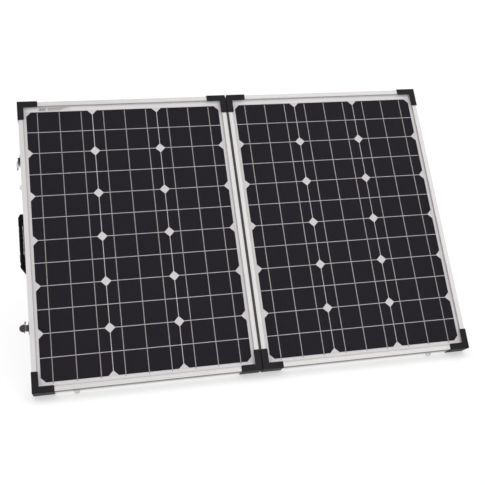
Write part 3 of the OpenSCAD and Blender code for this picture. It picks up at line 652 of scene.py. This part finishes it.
# ------------------------------------------------------------------ cables
CABLE_RADIUS = 2.6
CABLE_Z = -13.3                    # cable runs and junction box glands
GLAND_X, GLAND_Y = 24, 592         # glands, either side of the array centre
PORT_Y = 429.0                     # cable ends at the controller
LINK_Y, LINK_Z = 560.0, -38.2      # cable crossing the hinge
PAIR_SPACING = 10


def sweep(path, sides=14):
    """Cable along a path, closed at both ends."""
    vertices = []
    before = (path[1] - path[0]).normalized()
    first = before.orthogonal().normalized()
    for i, point in enumerate(path):
        tangent = (path[min(i + 1, len(path) - 1)] - path[max(i - 1, 0)]).normalized()
        first = (before.rotation_difference(tangent) @ first).normalized()
        before = tangent
        second = tangent.cross(first).normalized()
        for s in range(sides):
            angle = 2 * math.pi * s / sides
            spoke = first * math.cos(angle) + second * math.sin(angle)
            vertices.append(point + spoke * (CABLE_RADIUS / 1000))
    return make_mesh(vertices, ring_faces(len(path), sides), smooth=True)


def cable(sign, corner_radius, stations):
    """Cable through stations (distance from the hinge line, y, z); corner radius in metres."""
    return sweep(round_corners([at(sign * x, y, z) for x, y, z in stations], corner_radius))


# from the hinge loop down to the rear film
LINK_DROP = [(18, LINK_Y, LINK_Z), (30, LINK_Y, LINK_Z), (34, LINK_Y, CABLE_Z)]

left_runs = [
    cable(-1, 0.014, [
        (ARRAY_X + GLAND_X, GLAND_Y, CABLE_Z), (ARRAY_X + GLAND_X, 560, CABLE_Z),
        (ARRAY_X + 104, 545, CABLE_Z), (ARRAY_X + 104, 396, CABLE_Z),
        (ARRAY_X + 21, 396, CABLE_Z), (ARRAY_X + 21, PORT_Y, CABLE_Z)]),
    cable(-1, 0.014, [
        (ARRAY_X - GLAND_X, GLAND_Y, CABLE_Z), (ARRAY_X - GLAND_X, 548, CABLE_Z),
        (ARRAY_X + 94, 530, CABLE_Z), (ARRAY_X + 94, 406, CABLE_Z),
        (ARRAY_X + 35, 406, CABLE_Z), (ARRAY_X + 35, PORT_Y, CABLE_Z)]),
    cable(-1, 0.012, LINK_DROP + [
        (70, LINK_Y, CABLE_Z), (ARRAY_X - 104, LINK_Y - 32, CABLE_Z),
        (ARRAY_X - 104, 404, CABLE_Z), (ARRAY_X - 35, 404, CABLE_Z),
        (ARRAY_X - 35, PORT_Y, CABLE_Z)]),
]
fit("left_module_cables", left_runs, "left", "cable_jacket", replaces="left_pv_cables")

right_run = cable(1, 0.012, LINK_DROP + [
    (ARRAY_X - 36, LINK_Y, CABLE_Z), (ARRAY_X - GLAND_X, 572, CABLE_Z),
    (ARRAY_X - GLAND_X, GLAND_Y, CABLE_Z)])
fit("right_module_cable", [right_run], "right", "cable_jacket", replaces="right_pv_cables")

output_runs = [
    cable(-1, 0.03, [
        (ARRAY_X - 21, PORT_Y, CABLE_Z), (ARRAY_X - 21, 380, CABLE_Z),
        (ARRAY_X - 60, 300, CABLE_Z), (ARRAY_X - 60, 150, CABLE_Z),
        (ARRAY_X, 90, CABLE_Z), (ARRAY_X + 60, 90, CABLE_Z)]),
    cable(-1, 0.03, [
        (ARRAY_X - 7, PORT_Y, CABLE_Z), (ARRAY_X - 7, 372, CABLE_Z),
        (ARRAY_X - 50, 292, CABLE_Z), (ARRAY_X - 50, 156, CABLE_Z),
        (ARRAY_X + 5, 100, CABLE_Z), (ARRAY_X + 60, 100, CABLE_Z)]),
]
fit("output_cable", output_runs, "left", "cable_jacket", replaces="output_lead")

# free run across the hinge, sagging between its clips: distance from the hinge line, y and z
# offsets from the clips
HALF_LOOP = [(18.5, 0, 0), (15, -0.3, -0.2), (11, -2.2, -1.0), (6, -5.4, -2.2)]
loop_stations = ([(-x, y, z) for x, y, z in HALF_LOOP] + [(0, -7.2, -2.8)] + HALF_LOOP[::-1])
loop_path = smooth_path([at(x, LINK_Y + y, LINK_Z + z) for x, y, z in loop_stations], steps=14)
link = add_object("link_cable_loop", [sweep(loop_path, sides=16)], MATERIALS["cable_jacket"])
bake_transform(link)

# cable clips on the rear flanges beside the loop
for side, sign in SIDES:
    foot = slab((sign * 17.5, sign * 28), (LINK_Y - 6.5, LINK_Y + 6.5), (-35.9, -35.05),
                bevel=0.25)
    hood = slab((sign * 19, sign * 25.5), (LINK_Y - 4.4, LINK_Y + 4.4), (-41.9, -35.7),
                bevel=0.9)
    fit(f"{side}_cable_clip", [foot, hood], side, "black_plastic")


def saddle(x, y, width, level=False):
    """Pad, two feet and a strap over cables of this width that run up the leaf, or level."""
    half = width / 2
    parts = []
    # across the cable, along the cable, z, bevel
    for across, along, z_range, bevel in (
            ((-half - 6, half + 6), (-5.5, 5.5), (-8.5, -7.35), 0.3),
            ((-half - 1.9, -half - 0.3), (-3, 3), (-16.8, -8.2), 0.3),
            ((half + 0.3, half + 1.9), (-3, 3), (-16.8, -8.2), 0.3),
            ((-half - 1.9, half + 1.9), (-3, 3), (-17.6, -16.2), 0.5)):
        x_span, y_span = (along, across) if level else (across, along)
        parts.append(slab([x + dx for dx in x_span], [y + dy for dy in y_span], z_range, bevel))
    return parts


# adhesive saddles: distance from the hinge line, y, width of the cables held
ONE_WIDE = 2 * CABLE_RADIUS
PAIR_WIDE = PAIR_SPACING + ONE_WIDE
LEFT_SADDLES = [
    (ARRAY_X + 99, 505, PAIR_WIDE), (ARRAY_X + 99, 430, PAIR_WIDE),
    (ARRAY_X - 104, 500, ONE_WIDE), (ARRAY_X - 104, 430, ONE_WIDE),
    (ARRAY_X - 55, 250, PAIR_WIDE), (ARRAY_X - 55, 185, PAIR_WIDE),
]
parts = []
for x, y, width in LEFT_SADDLES:
    parts += saddle(-x, y, width)
fit("left_cable_saddles", parts, "left", "black_plastic")
parts = []
for inward in (150, 75):
    parts += saddle(ARRAY_X - inward, LINK_Y, ONE_WIDE, level=True)
fit("right_cable_saddles", parts, "right", "black_plastic")

# ------------------------------------------------------------------ inspection strip
# paper laid under the glass in the upper margin of the left leaf, with bars and three lines
STRIP_INK_Z = (-6.15, -6.09)
BAR_WIDTHS = (0.9, 0.5, 1.3, 0.6, 0.8)
BAR_GAPS = (0.7, 1.1, 0.6)
fit("inspection_strip", [slab((-465, -387.5), (676.2, 688.2), (-6.28, -6.14))], "left",
    "paper")
parts = []
bar_x, count = -462.0, 0
while bar_x < -446:
    width = BAR_WIDTHS[count % len(BAR_WIDTHS)]
    parts.append(slab((bar_x, bar_x + width), (678.2, 686.4), STRIP_INK_Z))
    bar_x += width + BAR_GAPS[count % len(BAR_GAPS)]
    count += 1
for j, line_end in enumerate((-396, -404, -410)):
    parts.append(slab((-442, line_end), (684.6 - j * 2.7, 685.6 - j * 2.7), STRIP_INK_Z))
fit("inspection_strip_marks", parts, "left", "ink")

# ------------------------------------------------------------------ junction box details
RIBS = 8
for side, sign in SIDES:
    screws = [domed_head(sign * ARRAY_X + a * 41, 625 + b * 25, -23.7, radius=2.6, height=0.9,
                         dome=0.4) for a in (-1, 1) for b in (-1, 1)]
    fit(f"{side}_lid_screws", screws, side, "stainless")
    # ribs round the gland nuts
    ribs = []
    for gland_x in (-GLAND_X, GLAND_X):
        for k in range(RIBS):
            angle = 2 * math.pi * k / RIBS
            x = sign * ARRAY_X + gland_x + 5.9 * math.cos(angle)
            z = CABLE_Z + 5.4 * math.sin(angle)
            ribs.append(slab((x - 0.9, x + 0.9), (GLAND_Y - 8, GLAND_Y), (z - 0.9, z + 0.9),
                             bevel=0.3))
    fit(f"{side}_gland_ribs", ribs, side, "box_plastic")

# ------------------------------------------------------------------ controller details
CONTROLLER_X, CONTROLLER_Y = -ARRAY_X, 470.0
CONTROLLER_FACE = FILM_REAR_Z - 21.5
DISPLAY_FACE = CONTROLLER_FACE + 0.92
PRINT_Z = (CONTROLLER_FACE - 0.05, CONTROLLER_FACE + 0.01)


def on_controller(x_range, y_range, z_range=PRINT_Z):
    """Slab placed from the controller's centre."""
    return slab([CONTROLLER_X + x for x in x_range], [CONTROLLER_Y + y for y in y_range], z_range)


for k, color in enumerate(("green", "amber", "red")):
    head = domed_head(CONTROLLER_X - 55, CONTROLLER_Y + 19 - 8 * k, CONTROLLER_FACE,
                      radius=1.7, height=0.6, dome=0.9)
    fit(f"{color}_lamp", [head], "left", f"lamp_{color}")

# long line, a row of T marks above it, and the four sides of a frame
parts = [on_controller((-62, 60), (-29.2, -28.6))]
for i in range(6):
    x = -35 + i * 14
    parts.append(on_controller((x - 0.4, x + 0.4), (-27.4, -22.5)))
    parts.append(on_controller((x - 2.6, x + 2.6), (-22.7, -21.9)))
LINE = 0.5
low_x, high_x, low_y, high_y = -1.5, 54.5, -11.1, 23.1
parts += [
    on_controller((low_x, high_x), (high_y - LINE, high_y)),
    on_controller((low_x, high_x), (low_y, low_y + LINE)),
    on_controller((low_x, low_x + LINE), (low_y, high_y)),
    on_controller((high_x - LINE, high_x), (low_y, high_y)),
]
fit("controller_print", parts, "left", "print")

# five rising bars on the display
parts = [on_controller((10 + i * 6.4, 14.4 + i * 6.4), (-0.5, 3.5 + i * 2.4),
                       (DISPLAY_FACE - 0.05, DISPLAY_FACE)) for i in range(5)]
fit("display_bars", parts, "left", "ink")

# ------------------------------------------------------------------ floor, world and lights
floor_mesh = make_mesh([(-45, -30, 0), (45, -30, 0), (45, 70, 0), (-45, 70, 0)], [(0, 1, 2, 3)])
add_object("floor", [floor_mesh], floor_material())

scene = bpy.context.scene
scene.view_settings.view_transform = "Standard"
world = bpy.data.worlds.new("studio")
scene.world = world
world.use_nodes = True
world_tree = world.node_tree
world_tree.nodes.clear()
world_output = world_tree.nodes.new("ShaderNodeOutputWorld")
background = world_tree.nodes.new("ShaderNodeBackground")
background.inputs["Color"].default_value = (1, 1, 1, 1)
background.inputs["Strength"].default_value = 1.03
world_tree.links.new(background.outputs[0], world_output.inputs[0])


def area_light(name, offset, size, power):
    """Disk light, offset in metres from the foot of the hinge, aimed at its middle."""
    data = bpy.data.lights.new(name, "AREA")
    data.shape = "DISK"
    data.size = size
    data.energy = power
    light = bpy.data.objects.new(name, data)
    scene.collection.objects.link(light)
    place = Vector(offset) + Vector((ORIGIN.x, ORIGIN.y, 0))
    light.location = place
    aim = at(0, LEAF_HEIGHT / 2, 0) - place
    light.rotation_euler = aim.to_track_quat("-Z", "Y").to_euler()


area_light("key", offset=(1.5, -2.2, 3.6), size=3.2, power=22)
area_light("fill", offset=(-2.8, -2.6, 1.8), size=3.0, power=10)

# ------------------------------------------------------------------ camera
CAMERA_PLACE = (-400.6, -253.8, 1782.7)   # leaf mm
# the camera's own axes, given along the leaf's axes
CAMERA_RIGHT = (0.97606107, -0.12978521, 0.17452964)
CAMERA_UP = (0.06995696, 0.94714425, 0.3130875)
CAMERA_BACK = (-0.20593888, -0.29338296, 0.93355001)
camera_data = bpy.data.cameras.new("camera")
camera_data.sensor_width = 36.0
camera_data.sensor_fit = "HORIZONTAL"
camera_data.lens = 59.12
camera_data.clip_end = 200
camera = bpy.data.objects.new("camera", camera_data)
scene.collection.objects.link(camera)
axes = Matrix([turned(*axis) for axis in (CAMERA_RIGHT, CAMERA_UP, CAMERA_BACK)])
camera.matrix_world = Matrix.Translation(at(*CAMERA_PLACE)) @ axes.transposed().to_4x4()
scene.camera = camera
